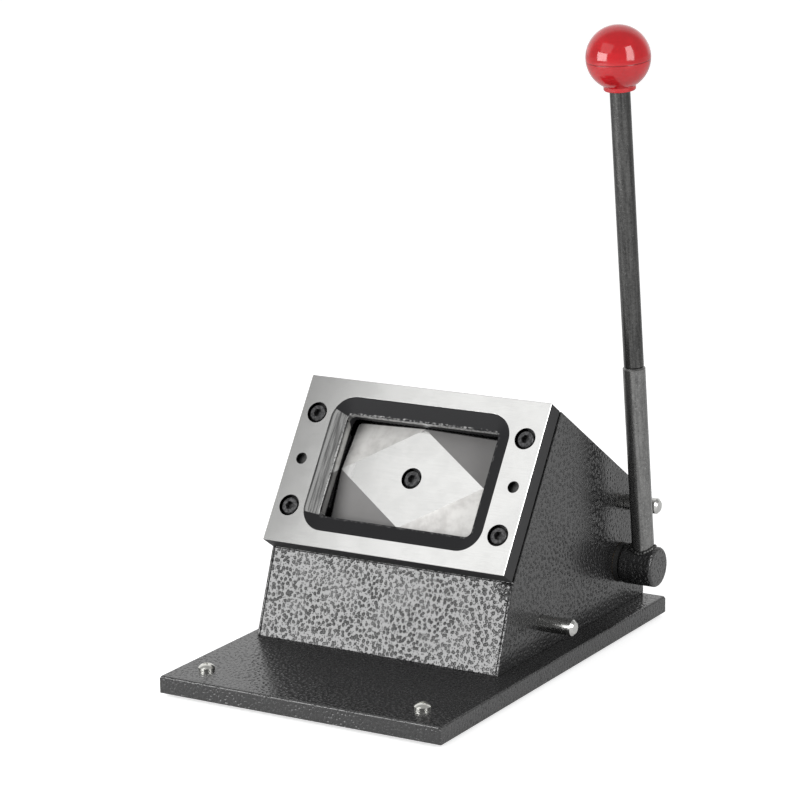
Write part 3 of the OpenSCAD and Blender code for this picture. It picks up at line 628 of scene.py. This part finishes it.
@once
def die_steel(name):
    """Ground steel with dark edges, a blackened flare and a bare left wall with lengthwise marks."""
    tint = bpy.context.scene.cutter_colours.steel
    material, tree, shader, local, colour = steel_base(name, (TILT, 0, 0), tint, GROUND_ROUGH, 0.15)
    across, upward, outward = (axis_of(tree, local, axis) for axis in range(3))
    depth = times(tree, outward, -1.0)
    streak = noise(tree, drawn_out(tree, local, (1.0, 0.05, 1.0)), 1500.0, 3.0)
    torn = noise(tree, local, 700.0, 3.0)
    uneven = times(tree, calc(tree, "SUBTRACT", torn, 0.5), TORN_REACH)
    edge = add(tree, depth, uneven)
    # the left wall: edge line, bright streak, bare middle, torn line, bright land, and a dark foot painted
    # as shade by the gap to the punch
    bare = add(tree, 0.35, times(tree, spread(tree, streak, 0.0, 1.0), 0.55))
    bare = times(tree, bare, stretch(tree, depth, *EDGE_SHADE, 0.25, 1.0))
    bare = add(tree, bare, between(tree, depth, *EDGE_LINE, 0.0002))
    torn_line = times(tree, between(tree, edge, *TORN_LINE, BAND_SOFT), 0.85)
    bare = times(tree, bare, left_of_one(tree, torn_line))
    bare = add(tree, bare, times(tree, between(tree, edge, *BRIGHT_LAND, BAND_SOFT), 0.5))
    # painted shade: the wall goes dark at its foot, by the gap to the punch
    bare = calc(tree, "MULTIPLY", bare, stretch(tree, depth, *FOOT_SHADE, 1.0, 0.0), clamp=True)
    wall_colour = mix_colour(tree, bare, (0.02, 0.02, 0.021, 1.0), (0.78, 0.78, 0.77, 1.0))
    # the other walls: black flare, and a bright line along the land's start, partly its rough bare ledge
    # and partly painted highlight, faint below the top wall
    # painted highlight along the rough ledge where the land starts, strongest on the top wall
    lip_highlight = times(tree, between(tree, edge, *LIP_HIGHLIGHT, BAND_SOFT), stretch(tree, torn, 0.30, 0.60, 0.15, 0.75))
    not_top = stretch(tree, upward, *TOP_WALL, 1.0, 0.0)
    lip_highlight = times(tree, lip_highlight, left_of_one(tree, times(tree, not_top, 0.8)))
    black_colour = mix_colour(tree, lip_highlight, (0.020, 0.020, 0.021, 1.0), (0.62, 0.62, 0.61, 1.0))
    left = stretch(tree, across, *LEFT_WALL, 1.0, 0.0)
    under_top = calc(tree, "LESS_THAN", add(tree, upward, times(tree, depth, FLARE_SLOPE)), WALL_TOP)
    over_foot = calc(tree, "GREATER_THAN", upward, WALL_FOOT)
    on_wall = times(tree, left, times(tree, under_top, over_foot))
    inner = mix_colour(tree, on_wall, black_colour, wall_colour)
    # the face, the window, the holes, painted dark as shade below their mouths, and the plate's outer rim
    in_window = within(tree, (across, upward), WINDOW_MOUTH)
    inside = times(tree, stretch(tree, depth, *FACE_END), in_window)
    faced = mix_colour(tree, inside, colour, inner)
    # painted shade: the holes' walls go near black below their mouths
    hole_shade = times(tree, stretch(tree, depth, *HOLE_SHADE_START), left_of_one(tree, in_window))
    faced = mix_colour(tree, hole_shade, faced, grey(0.025))
    outer = beyond(tree, (across, upward), DIE_RIM)
    scaled = most(tree, outer, times(tree, inside, left_of_one(tree, on_wall)))
    feed(tree, shader, {
        "Base Color": mix_colour(tree, outer, faced, (0.045, 0.045, 0.046, 1.0)),
        "Roughness": add(tree, times(tree, scaled, 0.30), GROUND_ROUGH),
        "Metallic": left_of_one(tree, times(tree, scaled, 0.9)),
        "Specular IOR Level": 0.05,
    })
    return material


@once
def punch_steel(name):
    """Ground steel, whose four ground-away corners are duller, with painted light and shade: two are
    painted pale and two darker, as the light falls on their slopes.
    """
    tint = bpy.context.scene.cutter_colours.steel
    material, tree, shader, local, colour = steel_base(name, (TILT, 0, 0), tint, GROUND_ROUGH, 0.15)
    spot = [axis_of(tree, local, axis) for axis in range(3)]
    across, upward = (calc(tree, "SUBTRACT", spot[axis], RHOMB[axis]) for axis in range(2))
    wide = calc(tree, "DIVIDE", distance_from_zero(tree, across), RHOMB_HALF[0])
    high = calc(tree, "DIVIDE", distance_from_zero(tree, upward), RHOMB_HALF[1])
    corner = stretch(tree, add(tree, wide, high), 0.997, 1.003, smooth=False)
    # painted light and shade on the corner facets: the two rising ones are painted dark, the others pale,
    # as light falls on their slopes
    rising = calc(tree, "GREATER_THAN", times(tree, across, upward), 0.0)
    cloud = noise(tree, local, 130.0, 5.0, 0.6)
    clouded = stretch(tree, cloud, 0.32, 0.66)
    pale = mix_colour(tree, clouded, (0.41, 0.40, 0.39, 1), (0.54, 0.535, 0.52, 1))
    shaded_facets = mix_colour(tree, cloud, (0.16, 0.157, 0.155, 1), (0.185, 0.182, 0.18, 1))
    ground = mix_colour(tree, rising, pale, shaded_facets)
    final = mix_colour(tree, corner, colour, ground)
    rim = beyond(tree, spot[:2], PUNCH_RIM)
    reach = add(tree, times(tree, across, across), times(tree, upward, upward))
    in_bore = calc(tree, "LESS_THAN", reach, BORE_RADIUS**2)
    shaded_bore = times(tree, in_bore, calc(tree, "LESS_THAN", spot[2], BORE_TOP))
    # the corners are duller, and so is the metal beside the window's bright left wall
    faceted = times(tree, corner, add(tree, 0.36, times(tree, rising, 0.1)))
    matt = times(tree, corner, add(tree, 0.7, times(tree, rising, 0.25)))
    by_wall = stretch(tree, spot[0], *BESIDE_WALL, 0.8, 0.0)
    feed(tree, shader, {
        # painted shade: the punch's rim in the gap to the die and its screw's bore go near black
        "Base Color": mix_colour(tree, most(tree, rim, shaded_bore), final, grey(0.03)),
        "Roughness": add(tree, faceted, GROUND_ROUGH),
        "Metallic": left_of_one(tree, most(tree, matt, by_wall)),
        "Specular IOR Level": 0.2,
    })
    return material


@once
def plain_steel(name, shade, rough):
    """Turned or milled steel."""
    material, tree, shader, _, colour = steel_base(name, (0, 0, 0), grey(shade), rough, 0.2)
    tree.links.new(colour, shader.inputs["Base Color"])
    return material


@once
def black_oxide(name):
    """Oiled black oxide on screws and rings."""
    material, tree, shader, where = start_material(name)
    grain = noise(tree, where, 900.0, 3.0)
    dark, light = (0.030, 0.030, 0.031, 1), (0.085, 0.085, 0.087, 1)
    feed(tree, shader, {
        "Base Color": mix_colour(tree, stretch(tree, grain, 0.35, 0.7), dark, light),
        "Roughness": spread(tree, grain, 0.28, 0.42),
        "Metallic": 0.75,
    })
    bump(tree, shader, grain, 0.2, 0.00003)
    return material


@once
def bar_steel(name, low, high, rough):
    """Drawn bar: soft lengthwise streaks, a little dark scale and small bright specks."""
    material, tree, shader, where = start_material(name)
    local = on_frame(tree, where, SHAFT, (LEAN, 0, 0))
    lengthwise = drawn_out(tree, local, (1.0, 1.0, 0.06))
    lines = noise(tree, lengthwise, 900.0, 3.0, 0.6)
    grain = noise(tree, local, 800.0, 3.0, 0.6)
    cloud = noise(tree, lengthwise, 260.0, 2.0)
    shade = add(tree, spread(tree, lines, 0.0, 0.45), spread(tree, grain, 0.0, 0.35))
    shade = add(tree, shade, stretch(tree, cloud, 0.35, 0.65, 0.0, 0.2))
    colour = mix_colour(tree, shade, grey(low), (high, high, high * 0.98, 1))
    specks = stretch(tree, noise(tree, local, 1300.0, 1.0), 0.68, 0.74, 0.0, 0.5)
    feed(tree, shader, {
        "Base Color": mix_colour(tree, specks, colour, grey(min(1.0, high * 1.8))),
        "Roughness": spread(tree, grain, rough + 0.05, rough - 0.05),
        "Metallic": 0.9,
    })
    bump(tree, shader, grain, 0.3, 0.00003)
    return material


@once
def bright_pin(name):
    """Turned steel with fine rings round the X axis."""
    material, tree, shader, where = start_material(name)
    rings = noise(tree, drawn_out(tree, where, (1.0, 0.08, 0.08)), 2600.0, 2.0)
    feed(tree, shader, {
        "Base Color": mix_colour(tree, rings, (0.42, 0.42, 0.41, 1), (0.66, 0.66, 0.64, 1)),
        "Roughness": spread(tree, rings, 0.17, 0.26),
        "Metallic": 1.0,
    })
    bump(tree, shader, rings, 0.2, 0.00002)
    return material


@once
def zinc_plate(name):
    """Bright, slightly cloudy zinc."""
    material, tree, shader, where = start_material(name)
    cloud = noise(tree, where, 500.0, 3.0)
    feed(tree, shader, {
        "Base Color": mix_colour(tree, cloud, (0.62, 0.62, 0.58, 1), (0.86, 0.86, 0.82, 1)),
        "Roughness": spread(tree, cloud, 0.12, 0.24),
        "Metallic": 1.0,
    })
    return material


@once
def warm_metal(name, red, green, blue):
    """Bronze or brass."""
    material, tree, shader, where = start_material(name)
    cloud = noise(tree, where, 700.0, 3.0)
    dark = (red * 0.7, green * 0.7, blue * 0.7, 1)
    feed(tree, shader, {
        "Base Color": mix_colour(tree, cloud, dark, (red, green, blue, 1)),
        "Roughness": spread(tree, cloud, 0.22, 0.36),
        "Metallic": 1.0,
    })
    return material


@once
def soft_black(name, rough):
    """Black rubber or fibre-filled plastic."""
    material, tree, shader, where = start_material(name)
    grain = noise(tree, where, 1800.0, 2.0)
    feed(tree, shader, {
        "Base Color": mix_colour(tree, grain, grey(0.012), grey(0.035)),
        "Roughness": spread(tree, grain, rough - 0.05, rough + 0.1),
    })
    bump(tree, shader, grain, 0.3, 0.00005)
    return material


@once
def red_plastic(name):
    """Polished red plastic with a dark line along the ball's moulding seam."""
    tint = bpy.context.scene.cutter_colours.ball
    material, tree, shader, where = start_material(name)
    cloud = stretch(tree, noise(tree, where, 120.0, 4.0), 0.35, 0.65)
    dark = (tint[0] * 0.86, tint[1] * 0.8, tint[2] * 0.8, 1)
    colour = mix_colour(tree, cloud, dark, rgba(tint))
    along = axis_of(tree, on_frame(tree, where, SHAFT, (LEAN, 0, 0)), 2)
    middle, half_seam = BALL_REACH + BALL_SEAM, 0.00022
    seam = between(tree, along, middle - half_seam, middle + half_seam, 0.00008)
    seam_colour = (tint[0] * 0.25, 0.002, 0.003, 1)
    fine = noise(tree, where, 320.0, 2.0)
    feed(tree, shader, {
        "Base Color": mix_colour(tree, times(tree, seam, 0.75), colour, seam_colour),
        "Roughness": spread(tree, fine, 0.09, 0.15),
        "Coat Weight": 0.2,
        "Coat Roughness": 0.06,
    })
    bump(tree, shader, fine, 0.06, 0.00008)
    return material


# what the materials take: bars' low and high shade and roughness, steels' shade and roughness, colours
BARE_BAR = (0.10, 0.26, 0.24)
BROWNED_BAR = (0.03, 0.12, 0.28)
RECESSED_STEEL = (0.06, 0.4)
MACHINED_STEEL = (0.40, 0.32)
BRONZE = (0.62, 0.44, 0.22)
BRASS = (0.74, 0.58, 0.28)


# ---- pieces ----


class CUTTER_OT_painted_body(bpy.types.Operator):
    """Round the painted plates' edges and paint the body, base and hub"""

    bl_idname = "cutter.painted_body"
    bl_label = "Painted Body"

    def execute(self, context):
        edge = context.scene.cutter_sizes.paint_edge
        for node in PAINTED:
            piece = finished_copy(node, edge, self.open_edge)
            if node.endswith("panel"):
                self.close_seams()
            dress(piece, hammered_paint(), "frame")
            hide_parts(node)
        for node in ("base_plate", "lever_hub"):
            cover(frame["nodes"][node], hammered_paint())
        return {"FINISHED"}

    def open_edge(self, start, end):
        """True where an edge isn't on a painted-over seam between a panel and a side plate."""
        first, second = start.x - FACE.x, end.x - FACE.x
        outer_side = 0.068
        return max(abs(first), abs(second)) > outer_side or first * second < 0

    def close_seams(self):
        """Stretches the active panel to the side plates' lips, because the paint fills its seams."""
        widening = 66.9 / 66.6
        start_edit()
        bpy.ops.transform.resize(value=(widening, 1, 1), center_override=FACE)
        bpy.ops.object.mode_set(mode="OBJECT")


class CUTTER_OT_die_plate(bpy.types.Operator):
    """Chamfer the die plate and give it its ground and blackened faces"""

    bl_idname = "cutter.die_plate"
    bl_label = "Die Plate"

    def execute(self, context):
        piece = finished_copy("die_plate", context.scene.cutter_sizes.steel_edge, self.rim_edge, 1, 20)
        dress(piece, die_steel(), "frame", 12)
        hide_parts("die_plate")
        return {"FINISHED"}

    def rim_edge(self, start, end):
        """True on the plate's own rim, away from its window and its holes."""
        for place in (start, end):
            spot = SLOPE.inverted() @ place
            if abs(spot.x) < DIE_FIELD[0] and abs(spot.y) < DIE_FIELD[1]:
                return False
        return True


class CUTTER_OT_punch(bpy.types.Operator):
    """Give the punch its ground faces"""

    bl_idname = "cutter.punch"
    bl_label = "Punch"

    def execute(self, context):
        cover(frame["nodes"]["punch"], punch_steel())
        return {"FINISHED"}


class CUTTER_OT_ball_knob(bpy.types.Operator):
    """Turn the ball knob with its collar and moulding seam"""

    bl_idname = "cutter.ball_knob"
    bl_label = "Ball Knob"

    def execute(self, context):
        sizes = context.scene.cutter_sizes
        radius, collar, bottom = sizes.ball_radius, 0.00785, -0.0159
        bore, bore_top, corner = 0.0061, -0.0035, 0.0007
        seam_half, crease, step = 0.00016, 0.0003, 0.0001
        join = -math.sqrt(radius**2 - collar**2)
        profile = [(bore, bore_top), (bore, bottom), (collar - corner, bottom)]
        profile += arc(collar - corner, bottom + corner, corner, -60, 0, 4)
        profile += [(collar, join - crease), (collar + step, join)]
        start = math.degrees(math.asin(join / radius)) + 1.5
        middle = math.degrees(math.asin(BALL_SEAM / radius))
        half = math.degrees(seam_half / radius)
        profile += arc(0, 0, radius, start, middle - half, 34)
        profile += [(radius * math.cos(math.radians(middle)) - sizes.seam_depth, BALL_SEAM)]
        profile += arc(0, 0, radius, middle + half, 89.5, 44)
        profile += [(0.0, radius)]
        piece = lathe("ball_knob_finished", profile, 96)
        settle(piece, LEVER @ Matrix.Translation((0, 0, BALL_REACH)))
        dress(piece, red_plastic(), "lever", 40)
        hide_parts("ball_knob")
        return {"FINISHED"}


class CUTTER_OT_lever(bpy.types.Operator):
    """Finish the lever's stub and rod"""

    bl_idname = "cutter.lever"
    bl_label = "Lever"

    def execute(self, context):
        cover(frame["nodes"]["lever_stub"], bar_steel(*BARE_BAR))
        cover(frame["nodes"]["lever_rod"], bar_steel(*BROWNED_BAR))
        return {"FINISHED"}


class CUTTER_OT_hardware(bpy.types.Operator):
    """Finish the screws, pins, washers, feet and inner works"""

    bl_idname = "cutter.hardware"
    bl_label = "Hardware"

    def execute(self, context):
        finishes = {
            black_oxide(): (
                "die_screws", "punch_screw", "base_bolts", "rear_panel_screws", "thrust_pad_screws",
                "eccentric_set_screw", "retaining_ring",
            ),
            bright_pin(): (
                "front_stop_pin", "rear_stop_pin", "drive_shaft", "left_guide_post", "right_guide_post",
            ),
            zinc_plate(): ("end_washer",),
            plain_steel(*RECESSED_STEEL): ("dowel_pins",),
            plain_steel(*MACHINED_STEEL): (
                "slot_spacers", "front_mounting_bar", "left_mounting_block", "right_mounting_block",
                "ram", "thrust_pad", "punch_dowels", "eccentric", "eccentric_key", "hub_pin",
            ),
            warm_metal(*BRONZE): (
                "left_shaft_bush", "right_shaft_bush", "left_post_bush", "right_post_bush",
            ),
            warm_metal(*BRASS): ("foot_inserts", "knob_insert"),
            soft_black(0.6): ("rubber_feet",),
            soft_black(0.4): ("thrust_washer",),
        }
        for material, nodes in finishes.items():
            for node in nodes:
                cover(frame["nodes"][node], material)
        return {"FINISHED"}


class CUTTER_OT_foot_screws(bpy.types.Operator):
    """Turn the feet's domed screws and sink their cross recesses"""

    bl_idname = "cutter.foot_screws"
    bl_label = "Foot Screws"

    def execute(self, context):
        low, high = (Vector(corner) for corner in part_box("foot_screws"))
        head, tall, dome = 0.0040, 0.0033, 0.0052
        shank, length, rear_reach = 0.0020, 0.0085, 0.05
        rim = math.degrees(math.acos(head / dome))
        profile = [(0.0, -length), (shank, -length), (shank, 0.0), (head, 0.0)]
        profile += arc(0, tall - dome, dome, rim, 89.5, 12) + [(0.0, tall)]
        first = lathe("foot_screws_finished", profile, 48)
        for turn in (45, 135):
            self.cut_slot(first, tall, math.radians(turn))
        front, rear = low.y + head, high.y - head
        spots = [
            (low.x + head, front), (high.x - head, front),
            (FACE.x - rear_reach, rear), (FACE.x + rear_reach, rear),
        ]
        screws = []
        for x, y in spots:
            pick_only(first)
            bpy.ops.object.duplicate()
            screws.append(context.object)
            settle(context.object, Matrix.Translation((x, y, high.z - tall)))
        bpy.data.objects.remove(first)
        piece = joined(screws, "foot_screws_finished")
        dress(piece, zinc_plate(), "frame")
        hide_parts("foot_screws")
        return {"FINISHED"}

    def cut_slot(self, screw, top, turn):
        """Sinks one tapered slot of the cross."""
        slot_size, taper = (0.0044, 0.0010, 0.0028), 0.55
        pick_none()
        bpy.ops.mesh.primitive_cube_add(
            size=1, location=(0, 0, top), rotation=(0, 0, turn), scale=slot_size,
        )
        cutter = bpy.context.object
        settle(cutter)
        start_edit()
        pick_vertices(cutter, lambda place: place.z < top)
        bpy.ops.transform.resize(value=(taper, taper, 1), center_override=(0, 0, top))
        pick_only(screw)
        cut = screw.modifiers.new("Slot", "BOOLEAN")
        cut.operation, cut.object = "DIFFERENCE", cutter
        bpy.ops.object.modifier_apply(modifier="Slot")
        bpy.data.objects.remove(cutter)


class CUTTER_OT_welds(bpy.types.Operator):
    """Lay the weld round the lever's stub and the lump at the body's front corner"""

    bl_idname = "cutter.welds"
    bl_label = "Welds"

    def execute(self, context):
        ripple = context.scene.cutter_sizes.weld_bead
        stub, hub, count = 0.0058, 0.01025, 24
        voxel, lump_voxel = 0.00022, 0.00025
        blobs = []
        for i in range(count):
            a = 2 * math.pi * i / count
            side = stub * math.sin(a)
            size = ripple * (0.85 + 0.3 * abs(math.sin(5.1 * i)))
            blobs.append(((stub * math.cos(a), side, math.sqrt(hub**2 - side**2)), (size, size, size)))
        piece = fused("stub_weld", blobs, voxel)
        settle(piece, LEVER)
        dress(piece, bar_steel(*BROWNED_BAR), "lever", 60)

        # the lump lies on the front panel, below its top right corner; its blobs are given in millimetres
        corner = FACE + Vector((0.0684, -0.0155, -0.0428))
        lean = math.atan2(0.3576, 0.934)
        panel = Matrix.Translation(corner) @ Matrix.Rotation(math.pi / 2 - lean, 4, "X")
        sunk = -0.0002
        lumps = (
            (-1.9, -2.0, 2.3), (-4.8, -1.8, 2.1), (-2.8, -4.9, 2.5), (-5.7, -4.4, 1.9),
            (-2.0, -7.6, 1.7), (-7.3, -2.2, 1.6), (-4.2, -7.2, 1.3), (-8.6, -3.6, 1.0),
        )
        blobs = [((x / 1000, y / 1000, sunk), (r / 1000, r / 1000, r / 2000)) for x, y, r in lumps]
        piece = fused("corner_weld", blobs, lump_voxel)
        settle(piece, panel)
        dress(piece, hammered_paint(), "frame", 60)
        return {"FINISHED"}


class CUTTER_OT_return_springs(bpy.types.Operator):
    """Wind the two return springs at their resting length"""

    bl_idname = "cutter.return_springs"
    bl_label = "Return Springs"

    def execute(self, context):
        wire, mean, turns, corners = 0.0016, 0.0067, 6, 10
        short, stroke = 0.0098, 0.0068
        rest = short + stroke
        seat_reach, seat_depth = 0.0505, -0.0309
        for side, node in ((-1, "left_return_spring"), (1, "right_return_spring")):
            pick_none()
            bpy.ops.mesh.primitive_circle_add(
                vertices=corners, radius=wire / 2 * 0.94,
                location=(mean, 0, wire / 2), rotation=(math.pi / 2, 0, 0),
            )
            piece = context.object
            piece.name = node + "_finished"
            settle(piece)
            winding = piece.modifiers.new("Winding", "SCREW")
            winding.axis, winding.iterations, winding.steps = "Z", turns, 32
            winding.screw_offset = (rest - wire) / turns
            bpy.ops.object.modifier_apply(modifier="Winding")
            start_edit()
            bpy.ops.mesh.fill_holes(sides=corners)
            bpy.ops.mesh.select_all(action="SELECT")
            bpy.ops.mesh.normals_make_consistent(inside=False)
            bpy.ops.object.mode_set(mode="OBJECT")
            seat = SLOPE @ Matrix.Translation((side * seat_reach, 0, seat_depth))
            settle(piece, seat @ Matrix.Rotation(math.pi, 4, "X"))
            dress(piece, plain_steel(*MACHINED_STEEL), "frame", 50)
            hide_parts(node)
            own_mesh(piece)
        return {"FINISHED"}


def aim(thing, place, axes):
    """Puts a lamp or camera at a place, with its own axes along the given ones."""
    thing.matrix_world = Matrix.Translation(place) @ Matrix(axes).transposed().to_4x4()


def soft_light(name, place, target, width, height, power):
    """A softbox that faces a point, with its width level."""
    data = bpy.data.lights.new(name, "AREA")
    data.shape, data.size, data.size_y, data.energy = "RECTANGLE", width, height, power
    lamp = bpy.data.objects.new(name, data)
    bpy.context.scene.collection.objects.link(lamp)
    back = (place - target).normalized()
    side = Vector((0, 0, 1)).cross(back).normalized()
    aim(lamp, place, (side, back.cross(side), back))
    lamp.visible_camera = False


def direction(azimuth, elevation):
    """The direction at an azimuth from the machine's front towards its right, and a height angle."""
    a, e = math.radians(azimuth), math.radians(elevation)
    return Vector((math.sin(a) * math.cos(e), -math.cos(a) * math.cos(e), math.sin(e)))


class CUTTER_OT_stage(bpy.types.Operator):
    """Set up the floor, the lights and the camera"""

    bl_idname = "cutter.stage"
    bl_label = "Stage"

    def execute(self, context):
        stage = context.scene.cutter_stage
        self.floor()
        self.world(stage)
        middle = Vector((0, 0, 0.10))
        key_place = middle + direction(-31, 15) * 1.05
        broad_place = middle + direction(-19.2, 44) * 1.15
        right_place, right_target = Vector((1.05, -0.29, 0.70)), Vector((0.05, 0.03, 0.70))
        soft_light("key_softbox", key_place, middle, 0.74, 0.48, stage.key_power)
        soft_light("broad_softbox", broad_place, middle, 0.84, 0.60, stage.broad_power)
        soft_light("right_softbox", right_place, right_target, 0.50, 1.00, stage.side_power)
        self.camera(stage)
        context.scene.view_settings.view_transform = "Standard"
        return {"FINISHED"}

    def floor(self):
        """Lays a floor that shines by itself, less strongly where a piece mirrors it."""
        seen_glow, mirrored_glow = 0.62, 0.2
        pick_none()
        bpy.ops.mesh.primitive_plane_add(size=16)
        floor = bpy.context.object
        floor.name = "floor"
        start_edit()
        bpy.ops.mesh.subdivide(number_cuts=3)
        bpy.ops.object.mode_set(mode="OBJECT")
        material, tree, shader, _ = start_material("Pale Floor")
        path = tree.nodes.new("ShaderNodeLightPath")
        mirrored = most(tree, path.outputs["Is Glossy Ray"], path.outputs["Is Transmission Ray"])
        seen = times(tree, path.outputs["Is Camera Ray"], seen_glow)
        feed(tree, shader, {
            "Base Color": grey(0.70),
            "Roughness": 0.9,
            "Emission Color": grey(1),
            "Emission Strength": most(tree, seen, times(tree, mirrored, mirrored_glow)),
        })
        cover(floor, material)

    def world(self, stage):
        """Lights the room evenly, with a white backdrop behind the machine."""
        backdrop_way, backdrop_edge = (-0.50, 0.82, 0.27), (0.45, 0.75)
        world = bpy.data.worlds.new("Studio")
        bpy.context.scene.world = world
        world.use_nodes = True
        tree = world.node_tree
        tree.nodes.clear()
        heading = tree.nodes.new("ShaderNodeTexCoord").outputs["Generated"]
        values = {0: heading, 1: backdrop_way}
        behind = put(tree, "ShaderNodeVectorMath", values, operation="DOT_PRODUCT").outputs["Value"]
        strength = stretch(tree, behind, *backdrop_edge, stage.surround, stage.backdrop)
        seen = tree.nodes.new("ShaderNodeLightPath").outputs["Is Camera Ray"]
        strength = most(tree, strength, times(tree, seen, stage.backdrop))
        even = put(tree, "ShaderNodeBackground", {"Color": grey(1), "Strength": strength})
        out = tree.nodes.new("ShaderNodeOutputWorld")
        tree.links.new(even.outputs[0], out.inputs["Surface"])

    def camera(self, stage):
        """Sets the camera where the photograph was taken from."""
        r = stage.roll
        back = direction(math.degrees(stage.azimuth), math.degrees(stage.elevation))
        level = Vector((0, 0, 1)).cross(back).normalized()
        upward = back.cross(level)
        right = math.cos(r) * level + math.sin(r) * upward
        up = math.cos(r) * upward - math.sin(r) * level
        data = bpy.data.cameras.new("camera")
        data.lens = stage.lens
        data.sensor_width = 36
        data.clip_end = 50
        camera = bpy.data.objects.new("camera", data)
        bpy.context.scene.collection.objects.link(camera)
        aim(camera, stage.camera_place, (right, up, back))
        bpy.context.scene.camera = camera


class CUTTER_PT_panel(bpy.types.Panel):
    """Lists the settings and the pieces in the order they are made"""

    bl_idname = "CUTTER_PT_panel"
    bl_label = "Card Cutter"
    bl_space_type = "VIEW_3D"
    bl_region_type = "UI"
    bl_category = "Card Cutter"

    def draw(self, context):
        scene = context.scene
        for group in (scene.cutter_sizes, scene.cutter_colours, scene.cutter_stage):
            box = self.layout.box()
            for name in group.bl_rna.properties.keys():
                if name not in ("rna_type", "name"):
                    box.prop(group, name)
        for operator in OPERATORS:
            self.layout.operator(operator.bl_idname)


OPERATORS = (
    CUTTER_OT_painted_body,
    CUTTER_OT_die_plate,
    CUTTER_OT_punch,
    CUTTER_OT_ball_knob,
    CUTTER_OT_lever,
    CUTTER_OT_hardware,
    CUTTER_OT_foot_screws,
    CUTTER_OT_welds,
    CUTTER_OT_return_springs,
    CUTTER_OT_stage,
)
CLASSES = (CutterSizes, CutterColours, CutterStage) + OPERATORS + (CUTTER_PT_panel,)


def register():
    for item in CLASSES:
        bpy.utils.register_class(item)
    bpy.types.Scene.cutter_sizes = bpy.props.PointerProperty(type=CutterSizes)
    bpy.types.Scene.cutter_colours = bpy.props.PointerProperty(type=CutterColours)
    bpy.types.Scene.cutter_stage = bpy.props.PointerProperty(type=CutterStage)


def unregister():
    del bpy.types.Scene.cutter_stage
    del bpy.types.Scene.cutter_colours
    del bpy.types.Scene.cutter_sizes
    for item in reversed(CLASSES):
        bpy.utils.unregister_class(item)


def main():
    register()
    for operator in OPERATORS:
        group, name = operator.bl_idname.split(".")
        getattr(getattr(bpy.ops, group), name)()


if __name__ == "__main__":
    main()
